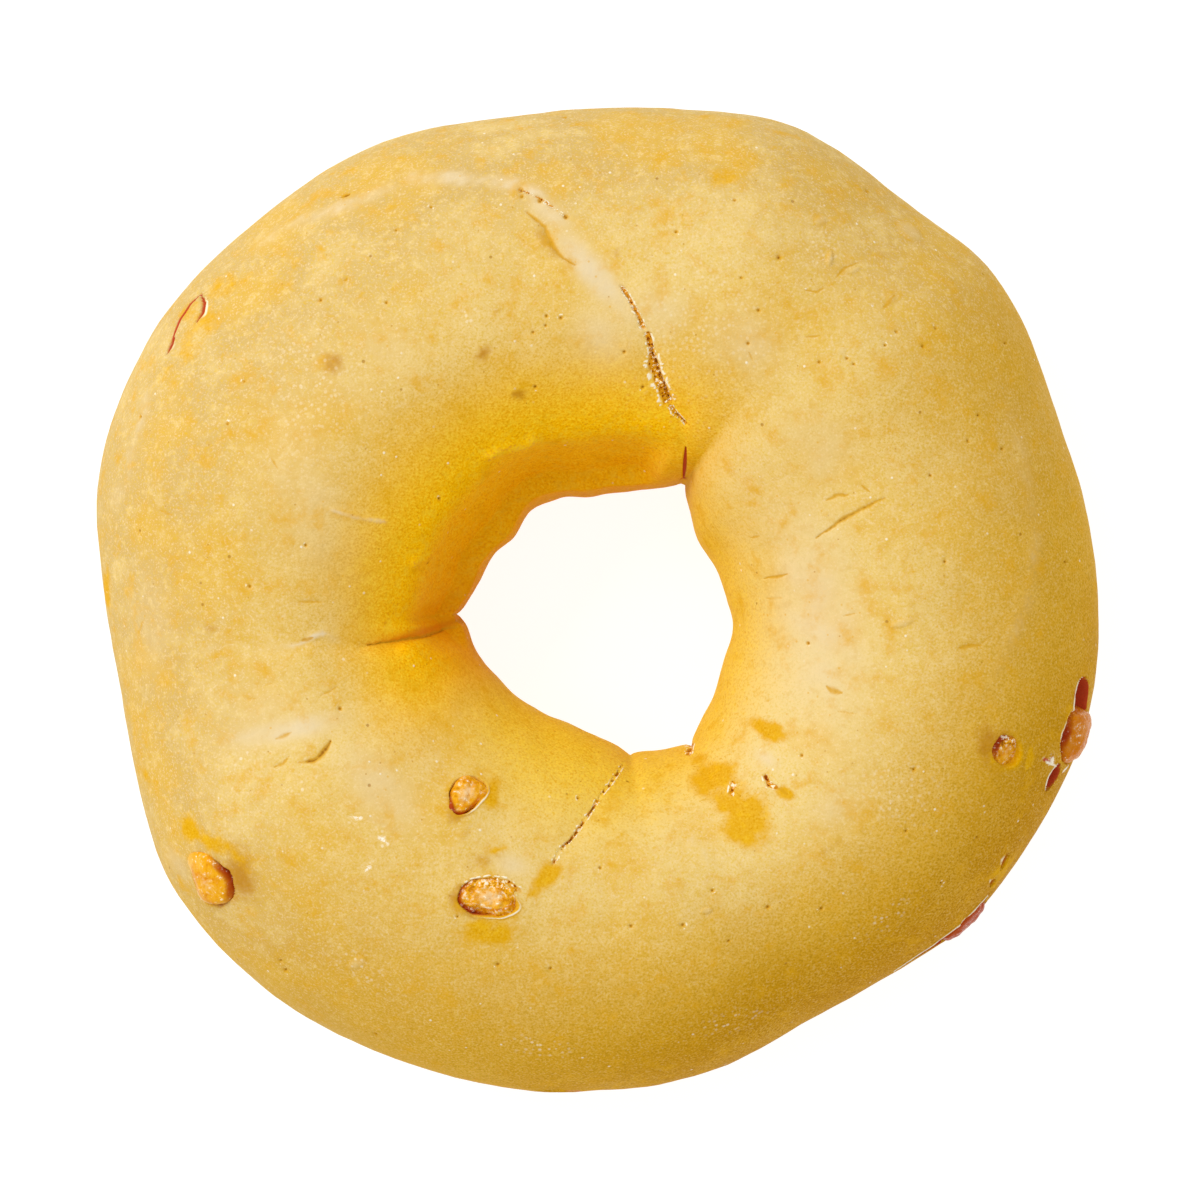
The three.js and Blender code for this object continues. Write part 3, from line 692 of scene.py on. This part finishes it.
# The side towards the softbox, where the toasted flank climbs highest: painted shade that holds back the
# softbox's light.
SOFTBOX_SIDE_AZIMUTH, SOFTBOX_SIDE_SPREAD = 145, 50
WALL_MIDDLE, WALL_REACH = 135, (62, 95)  # the wall's masks end between these turns from its middle
DEEP_TILTS = (98, 134)
MOIST_TILTS, MOIST_CLIMB = (126, 168), (26, 22)
MOIST_AZIMUTH, MOIST_SPREAD = 262, 42
MOIST_STRENGTH, EDGE_SHADE_STRENGTH = 0.75, 0.25
UNDER_TILTS = (210, 250)  # all of the hole's masks end between these, under the waist
LOW_WALL_TILTS, LOW_WALL_CLIMB = (130, 166), 14  # only its start climbs
LEFT_END_AZIMUTH, LEFT_END_SPREAD = 186, 24  # the left end of the wall, where its foot is the most orange
EDGE_SHADE_TILTS = (162, 176)
FOOT_HEIGHTS = (0.1, 1.8)

# The side that faces away from the softbox, where the painted shade is strongest.
shade_side = np.array((math.cos(math.radians(SHADE_AZIMUTH)), math.sin(math.radians(SHADE_AZIMUTH)), 0.0))
facing = way_out @ shade_side
masks["golden_shade"] = smoothstep(facing, *GOLDEN_SHADE_FACING)
masks["baked"] = smoothstep(facing, *BROWN_SHADE_FACING)

inward = np.where(tilt < -90, tilt + 360, tilt)
# the outer flank's browning, all round, climbing on the softbox's side as painted shade
softbox_side = bell(turn_from(azimuth, SOFTBOX_SIDE_AZIMUTH), SOFTBOX_SIDE_SPREAD)
start, full = [at + climb * softbox_side for at, climb in zip(TOASTED_TILTS, TOASTED_CLIMB)]
masks["toasted_and_shade"] = 1 - smoothstep(inward, full, start)

on_wall = 1 - smoothstep(np.abs(turn_from(azimuth, WALL_MIDDLE)), *WALL_REACH)
above = 1 - smoothstep(inward, *UNDER_TILTS)
# The hole's saturated yellow: partly the steamed skin's own colour, partly painted warm shade.
masks["deep"] = smoothstep(inward, *DEEP_TILTS) * on_wall * above
moist_side = bell(turn_from(azimuth, MOIST_AZIMUTH), MOIST_SPREAD)
start, full = [at - climb * moist_side for at, climb in zip(MOIST_TILTS, MOIST_CLIMB)]
masks["moist_and_shaded"] = MOIST_STRENGTH * smoothstep(inward, start, full) * (1 - on_wall) * above

# painted shade at the foot of the wall, most orange at its left end
left_end = bell(turn_from(azimuth, LEFT_END_AZIMUTH), LEFT_END_SPREAD)
start, full = LOW_WALL_TILTS[0] - LOW_WALL_CLIMB * left_end, LOW_WALL_TILTS[1]
low_wall = (0.35 + 0.2 * left_end) * smoothstep(inward, start, full) * on_wall * above
masks["fold"] = np.maximum(masks["fold"], low_wall)
# a dark rim of painted shade low on the wall
masks["edge"] = EDGE_SHADE_STRENGTH * smoothstep(inward, *EDGE_SHADE_TILTS) * on_wall * above
masks["foot"] = 1 - smoothstep(shaped[:, 2], *FOOT_HEIGHTS)
lay_masks(ring.data, {name: np.clip(mask, 0, 1) for name, mask in masks.items()})
bpy.ops.object.shade_smooth()


def linear(hex_colour):
    """A colour for a socket from its sRGB hex value."""
    values = [int(hex_colour[i:i + 2], 16) / 255 for i in (1, 3, 5)]
    return [v / 12.92 if v <= 0.04045 else ((v + 0.055) / 1.055) ** 2.4 for v in values] + [1.0]


def add_node(tree, kind, inputs, **settings):
    """Adds a node, and sets or links its inputs by their name or number."""
    made = tree.nodes.new(kind)
    for name, value in settings.items():
        setattr(made, name, value)
    for name, value in inputs.items():
        if isinstance(value, bpy.types.NodeSocket):
            tree.links.new(value, made.inputs[name])
        else:
            made.inputs[name].default_value = value
    return made


def new_material(name):
    material = bpy.data.materials.new(name)
    material.use_nodes = True
    material.node_tree.nodes.clear()
    return material, material.node_tree


def per(millimetres):
    """The scale of a pattern in Object coordinates whose cells are that wide."""
    return 1 / (millimetres * MM)


def paint(tree, layers, base):
    """Lays colours over each other: each layer is a mask and the colour that it shows."""
    colour = linear(base)
    for mask, over in layers:
        inputs = {0: mask, 6: colour, 7: linear(over)}
        colour = add_node(tree, "ShaderNodeMix", inputs, data_type="RGBA").outputs[2]
    return colour


# Boiled wheat crust: satin and slightly waxy. It is pale yellow where it stretched and where painted light
# lies on broad slopes, and golden to brown as painted shade on the side away from the softbox. In the hole it
# is a partly painted saturated yellow. It has soft mottling, pinprick pores, tiny dry flecks, a few painted
# glints and a fine pucker. Torn seams show matt pale crumb.
crust, tree = new_material("boiled_wheat_crust")
place = add_node(tree, "ShaderNodeTexCoord", {}).outputs["Object"]


# These functions add to the material that is being made: its tree and its place.
def mask_of(name):
    """A mask that is laid on the mesh."""
    return add_node(tree, "ShaderNodeAttribute", {}, attribute_name=name).outputs["Fac"]


def where(*parts):
    """A mask that shows where all of its parts do. A part is a socket or a number, or a socket with the
    value where it starts to show and the one where it is full."""
    shares = []
    for part in parts:
        if isinstance(part, tuple):
            inputs = dict(zip(("Value", "From Min", "From Max"), part))
            part = add_node(tree, "ShaderNodeMapRange", inputs, interpolation_type="SMOOTHSTEP").outputs[0]
        shares.append(part)
    mask = shares[0]
    for share in shares[1:]:
        mask = add_node(tree, "ShaderNodeMath", {0: mask, 1: share}, operation="MULTIPLY").outputs[0]
    return mask


def cloud(millimetres, detail=3.0, rough=0.55):
    """Soft clouds that are that wide."""
    inputs = {"Vector": place, "Scale": per(millimetres), "Detail": detail, "Roughness": rough}
    return add_node(tree, "ShaderNodeTexNoise", inputs).outputs[0]


def dots(spacing, radius, share):
    """Round specks of a radius in millimetres, in a share of the cells of a spacing."""
    cells = add_node(tree, "ShaderNodeTexVoronoi", {"Vector": place, "Scale": per(spacing)})
    size = radius / spacing
    pick = add_node(tree, "ShaderNodeSeparateColor", {0: cells.outputs["Color"]}).outputs[0]
    return where((cells.outputs["Distance"], size, size * 0.45), (pick, 1 - share, 1 - share + 0.02))


def raised(base, pattern, share):
    """A height or a mask with a share of a pattern on top."""
    inputs = {0: pattern, 1: share, 2: base}
    return add_node(tree, "ShaderNodeMath", inputs, operation="MULTIPLY_ADD").outputs[0]


def broken(mask, pattern, share, low, high):
    """The part, for where, of a mask whose edge a pattern breaks up by a share of its height."""
    return raised(mask, pattern, share), low + share / 2, high + share / 2


blotch = cloud(11.0, 4.0)
mottle = cloud(2.6, 4.0, 0.62)
freckle = cloud(0.9, 2.0, 0.6)
speckle = cloud(0.25, 2.0, 0.65)
pores = dots(3.4, 0.22, 0.4)
pinpricks = dots(1.5, 0.13, 0.5)
flecks = where(dots(1.7, 0.19, 0.5), (cloud(9.0), 0.4, 0.55))
gold_specks = dots(1.1, 0.17, 0.45)
flake_and_glint_specks = dots(0.62, 0.24, 0.8)
crumbs = cloud(0.4, 2.0, 0.6)
deep, moist_and_shaded, crumb, golden_shade = mask_of("deep"), mask_of("moist_and_shaded"), mask_of("crumb"), mask_of("golden_shade")
baked, stain, flake_and_glint, mark = mask_of("baked"), mask_of("stain"), mask_of("flake_and_glint"), mask_of("mark")
wet_and_shaded = add_node(tree, "ShaderNodeMath", {0: deep, 1: moist_and_shaded}, operation="MAXIMUM").outputs[0]
out_of_shade = where((golden_shade, 0.95, 0.3))
crust_layers = [
    # the outer flank's browning, climbing on the softbox's side as painted shade, then painted shade in gold
    # and brown away from the softbox
    (where(mask_of("toasted_and_shade"), 0.85), "#c6a463"),
    (golden_shade, "#daa306"),
    (where(baked, 0.9), "#bd8404"),
    # mottling, from broad to fine, chalkier out of the painted shade
    (where((blotch, 0.48, 0.68), 0.55), "#e0b03c"),
    (where(out_of_shade, (blotch, 0.5, 0.32), 0.5), "#e8cb85"),
    (where((mottle, 0.5, 0.7), 0.32), "#dca634"),
    (where(out_of_shade, (mottle, 0.48, 0.28), 0.35), "#edd391"),
    (where((freckle, 0.52, 0.74), 0.35), "#d4a22c"),
    (where((freckle, 0.46, 0.28), 0.3), "#e6bc48"),
    (where(out_of_shade, (freckle, 0.46, 0.28), 0.22), "#f3dfb0"),
    (where((speckle, 0.5, 0.7), 0.6), "#dcb430"),
    (where((speckle, 0.5, 0.28), 0.45), "#e6c57c"),
    (where(out_of_shade, (speckle, 0.48, 0.26), 0.35), "#f2dab4"),
    # darker specks within the painted shade, most in its brown part
    (where((golden_shade, 0.3, 0.95), (speckle, 0.5, 0.66), 0.6), "#b58200"),
    (where(baked, 0.35), "#c8900c"),
    (where(baked, (speckle, 0.5, 0.66), 0.7), "#a26a04"),
    (where(baked, (speckle, 0.46, 0.3), 0.55), "#dcb060"),
    # the saturated yellow skin in the hole: partly its own moist colour, partly painted warm shade
    (deep, "#fabe00"),
    (moist_and_shaded, "#ecc200"),
    (where(wet_and_shaded, (speckle, 0.5, 0.68), 0.55), "#d48400"),
    (where(wet_and_shaded, (speckle, 0.48, 0.34), 0.6), "#ffdc30"),
    (where(wet_and_shaded, (freckle, 0.52, 0.34), 0.4), "#f2cc30"),
    # stretched skin with painted light on broad slopes, smudges with painted shadow by the chips, the base
    # and the stains of fat
    (where(broken(mask_of("pale_and_lit"), speckle, 0.5, 0.05, 0.9), 0.9), "#e4d0aa"),
    (where(broken(mask_of("smudge_and_shade"), freckle, 0.5, 0.15, 0.95), 0.85), "#bc801a"),
    (where(broken(mask_of("foot"), mottle, 0.9, 0.1, 1.1), 0.85), "#b97a2c"),
    (where(broken(stain, mottle, 2.2, 0.0, 0.9), 0.92), "#dda400"),
    (where(stain, (freckle, 0.5, 0.3), 0.5), "#eab818"),
    (where(stain, (speckle, 0.5, 0.3), 0.5), "#ecc23c"),
    (where(stain, (speckle, 0.54, 0.7), 0.6), "#c98a00"),
    # specks, flakes with their painted glints, and pores
    (where(flecks, 0.7), "#faf0d8"),
    (where(gold_specks, 0.5), "#dba21c"),
    (where(flake_and_glint, flake_and_glint_specks), "#fdf3dc"),
    (where((flake_and_glint, 0.5, 0.8), (speckle, 0.45, 0.53)), "#fff6e4"),
    (where(pinpricks, 0.5), "#bd8014"),
    (where(pores, 0.6), "#a5690f"),
    # painted shade in the folds and in a dark rim low in the hole, wrinkles, pockets dark red with painted
    # shade, lips and torn crumb
    (where(mask_of("fold"), 0.9), "#dc8210"),
    (mask_of("edge"), "#b06c00"),
    (where((mark, 0.05, 0.5), 0.8), "#d39c1c"),
    (where((mark, 0.5, 1.0), 0.85), "#96590a"),
    (where((mask_of("pocket_and_shade"), 0.1, 0.9), 0.95), "#b83c22"),
    (where((mask_of("white"), 0.25, 0.8), 0.9), "#fdf3d8"),
    (where((crumb, 0.15, 0.7), 0.95), "#d8920c"),
    (where((crumb, 0.3, 0.8), (crumbs, 0.56, 0.63)), "#8e400a"),
    (where((crumb, 0.2, 0.6), (crumbs, 0.44, 0.37)), "#fff2cf"),
]
crust_colour = paint(tree, crust_layers, "#e8d08c")

height = where(cloud(1.1, 3.0, 0.6), 0.7)
for pattern, share in ((speckle, 0.25), (freckle, 0.5), (flecks, 0.35), (pores, -0.9), (pinpricks, -0.4)):
    height = raised(height, pattern, share)
pucker = add_node(tree, "ShaderNodeBump", {"Height": height, "Strength": 0.5, "Distance": 0.15 * MM})
satin = add_node(tree, "ShaderNodeMapRange", {"Value": mottle, "To Min": 0.45, "To Max": 0.65})
shader = add_node(tree, "ShaderNodeBsdfPrincipled", {
    "Base Color": crust_colour, "Roughness": satin.outputs[0], "Normal": pucker.outputs[0], "IOR": 1.4,
    "Specular IOR Level": 0.015,
})
add_node(tree, "ShaderNodeOutputMaterial", {"Surface": shader.outputs[0]})
ring.data.materials.clear()
ring.data.materials.append(crust)
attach(ring, "root")
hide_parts("dough_ring")


# ---- The baked-in chips ----
# Nuggets of amber filling, pressed from a block and mixed into the dough. The oven has rounded and glazed
# them, and left pits and small craters where they bubbled. Each sits in the pocket that rose around it.

# Baked amber filling: a glossy sugary skin over clear amber, with paler clouds, bubbles and grains of
# sugar in it. It is darker where it burnt and, as painted shade, at the rim on the gap's side. It has a
# painted pale highlight in its middle and painted white glints.
amber, tree = new_material("baked_amber_filling")
place = add_node(tree, "ShaderNodeTexCoord", {}).outputs["Object"]
blister = cloud(1.3, 3.0, 0.6)
sugar = cloud(0.45, 3.0, 0.65)
froth = mask_of("froth")
amber_layers = [
    (where((blister, 0.48, 0.66), 0.6), "#dc8408"),
    (where((blister, 0.46, 0.3), 0.5), "#f6c45c"),
    # a painted pale highlight in the middle
    (where(broken(mask_of("pale_highlight"), sugar, 1.6, 0.0, 0.9), 0.85), "#f2cf9c"),
    (where((sugar, 0.58, 0.72), 0.5), "#f8d690"),
    (where((sugar, 0.42, 0.28), 0.5), "#c86404"),
    (where((mask_of("film"), 0.1, 0.9), 0.75), "#e8c67c"),
    (where((mask_of("ring"), 0.1, 0.9), 0.85), "#cf6a06"),
    # burnt, and painted shade at the rim by the gap
    (where((mask_of("charred_and_shaded"), 0.1, 0.9), 0.95), "#a4280a"),
    (where(froth, (sugar, 0.46, 0.38)), "#8e400a"),
    (where(froth, (sugar, 0.53, 0.6)), "#fff2d8"),
    # painted white glints, scattered by the sugar pattern
    (where((sugar, 0.63, 0.7), 0.85), "#fff0d0"),
]
amber_colour = paint(tree, amber_layers, "#eaa614")
grains = add_node(tree, "ShaderNodeBump", {"Height": sugar, "Strength": 0.6, "Distance": 0.12 * MM})
shader = add_node(tree, "ShaderNodeBsdfPrincipled", {
    "Base Color": amber_colour, "Roughness": 0.22, "Normal": grains.outputs[0], "IOR": 1.47,
    "Specular IOR Level": 0.04,
})
add_node(tree, "ShaderNodeOutputMaterial", {"Surface": shader.outputs[0]})

lumps = bpy.data.textures.new("filling_lumps", "CLOUDS")
lumps.noise_scale = 1.5 * MM
craters = bpy.data.textures.new("filling_craters", "VORONOI")
craters.noise_scale = 1.1 * MM
NUGGET_SQUARENESS = 2.6  # a nugget's outline lies between an oval's, which is 2, and a box's
NUGGET_ALLOWANCE = 1.04  # makes up for what the rounding takes off
CORNER_WANDER = 0.09  # how far its corners are moved at random, as a share of its size
FROTH_AZIMUTH = 75  # the side where a chip bubbled most

for order, (name, chip) in enumerate(CHIPS.items()):
    origin, axes = chip_seat(name)
    thick = chip["thick"]
    swell = 1 - abs(1 - 2 * chip["proud"] / thick) ** NUGGET_SQUARENESS
    length, width = np.array(chip["shows"]) / swell ** (1 / NUGGET_SQUARENESS)
    bpy.ops.object.select_all(action="DESELECT")
    bpy.ops.mesh.primitive_cube_add(size=1, location=(0, 0, 0))
    nugget = bpy.context.object
    nugget.name = name + "_filling"
    bpy.ops.object.mode_set(mode="EDIT")
    bpy.ops.mesh.subdivide(number_cuts=2)
    bpy.ops.mesh.vertices_smooth(factor=0.7, repeat=2)
    bpy.ops.transform.vertex_random(offset=CORNER_WANDER, uniform=0.0, normal=0.0, seed=order)
    bpy.ops.object.mode_set(mode="OBJECT")
    corners = read_points(nugget.data.vertices, "co")
    middle, extent = (corners.max(0) + corners.min(0)) / 2, corners.max(0) - corners.min(0)
    corners = (corners - middle) / extent * np.array((length, width, thick)) * NUGGET_ALLOWANCE
    wide, bent = chip_form(chip, 2 * corners[:, 0] / length)
    corners[:, 1] = corners[:, 1] * wide + bent * width / 2
    place_corners(nugget.data, corners)
    rounding = nugget.modifiers.new("rounding", "SUBSURF")
    rounding.levels = rounding.render_levels = 4
    for texture, strength in ((lumps, 0.4 * chip["rough"]), (craters, -0.28 * chip["rough"])):
        bump = nugget.modifiers.new(texture.name, "DISPLACE")
        bump.texture = texture
        bump.strength = strength * MM
        bump.mid_level = 0.5
    for modifier in [m.name for m in nugget.modifiers]:
        bpy.ops.object.modifier_apply(modifier=modifier)
    local = read_points(nugget.data.vertices, "co") / MM
    shows = np.array(chip["shows"]) / 2
    wide, bent = chip_form(chip, local[:, 0] / shows[0])
    away = np.hypot(local[:, 0] / shows[0], (local[:, 1] / shows[1] - bent) / wide)
    sunk = thick / 2 - chip["proud"]
    turned = local @ axes + origin - axes[2] * sunk + SHIFT
    from_seat = turned - origin - SHIFT
    bearing = np.degrees(np.arctan2(from_seat[:, 1], from_seat[:, 0]))
    gap, lip_side = towards(bearing, chip["gap"]), towards(bearing, chip["lip"])
    rim = smoothstep(away, 0.72, 1.0)
    bubbled = smoothstep(away, 0.35, 0.7) * (0.3 + 0.7 * towards(bearing, FROTH_AZIMUTH))
    # The burnt mask also carries painted shade at the rim on the gap's side, and the middle has a painted
    # pale highlight.
    amber_masks = {
        "charred_and_shaded": np.maximum(rim * (0.05 + 0.8 * gap), chip["burnt"] - 0.3),
        "film": chip["film"] * smoothstep(away, 0.3, 0.9) * lip_side,
        "froth": chip["froth"] * bubbled,
        "pale_highlight": chip["pale_highlight"] * bell(away, 0.42),
        "ring": np.maximum(0.7 * bell(away - 0.72, 0.1) * lip_side, chip["burnt"]),
    }
    lay_masks(nugget.data, amber_masks)
    place_corners(nugget.data, turned)
    bpy.ops.object.shade_smooth()
    nugget.data.materials.append(amber)
    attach(nugget, "root")
    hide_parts(name)


# ---- The stage ----
# A white acrylic table lit softly from beneath, a big softbox at the upper left and an even white room. The
# table lies a hair below the foot, so that the two faces don't flicker through each other.
TABLE_SIZE = 6
TABLE_DROP = 0.1 * MM

bpy.ops.object.select_all(action="DESELECT")
bpy.ops.mesh.primitive_plane_add(size=TABLE_SIZE, location=(0, 0, -TABLE_DROP))
table = bpy.context.object
table.name = "table"
acrylic, tree = new_material("white_acrylic_table")
shader = add_node(tree, "ShaderNodeBsdfPrincipled", {
    "Base Color": linear("#909090"), "Roughness": 0.7,
    "Emission Color": linear("#ffffff"), "Emission Strength": 0.86,
})
add_node(tree, "ShaderNodeOutputMaterial", {"Surface": shader.outputs[0]})
table.data.materials.append(acrylic)

world = bpy.data.worlds.new("white_room")
bpy.context.scene.world = world
world.use_nodes = True
room = world.node_tree.nodes["Background"]
room.inputs["Color"].default_value = linear("#ffffff")
room.inputs["Strength"].default_value = 0.72

softbox_data = bpy.data.lights.new("softbox", "AREA")
softbox_data.shape = "SQUARE"
softbox_data.size = 0.5
softbox_data.energy = 5.1
softbox = bpy.data.objects.new("softbox", softbox_data)
bpy.context.scene.collection.objects.link(softbox)
softbox.location = (-0.53, 0.38, 0.72)
softbox.rotation_euler = (-softbox.location).to_track_quat("-Z", "Y").to_euler()

# The camera looks straight down from far off, and its view is a fifth wider than the ring.
CAMERA_HEIGHT = 2.5
VIEW_WIDTH = 0.126
camera_data = bpy.data.cameras.new("camera")
camera = bpy.data.objects.new("camera", camera_data)
bpy.context.scene.collection.objects.link(camera)
camera.location = (0, 0, CAMERA_HEIGHT)
waist_height = (node_low.z + node_high.z) * WAIST_SHARE
camera_data.lens = camera_data.sensor_width * (CAMERA_HEIGHT - waist_height) / VIEW_WIDTH
bpy.context.scene.camera = camera
bpy.context.scene.view_settings.view_transform = "Standard"
